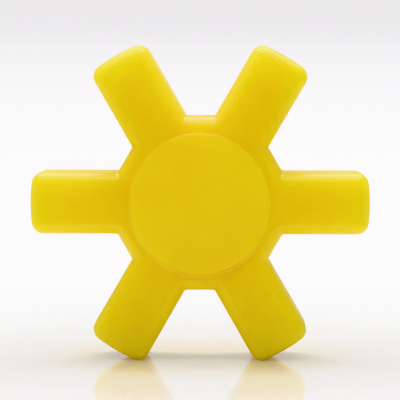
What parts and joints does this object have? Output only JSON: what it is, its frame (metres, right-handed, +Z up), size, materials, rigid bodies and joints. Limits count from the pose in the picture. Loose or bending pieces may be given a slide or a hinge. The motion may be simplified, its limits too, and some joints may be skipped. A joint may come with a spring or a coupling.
{
  "type": "jaw coupling spider",
  "caption": "Star-shaped polyurethane spider for a straight-jaw shaft coupling: flat-sided legs with rounded edges around a solid hub, and a raised round boss on each face.",
  "frame": {"origin": "centre of the part, on the shaft axis and midway between the two faces", "axes": "Y is the common axis of the two shafts and -Y is the front face; +X runs along one leg, and +Z is up, so that the part stands on the tips of its two lower legs"},
  "size_m": [0.0644, 0.018, 0.0596],
  "materials": {
    "polyurethane": "satin"
  },
  "bodies": {
    "root": {"spider": "polyurethane"}
  },
  "joints": []
}
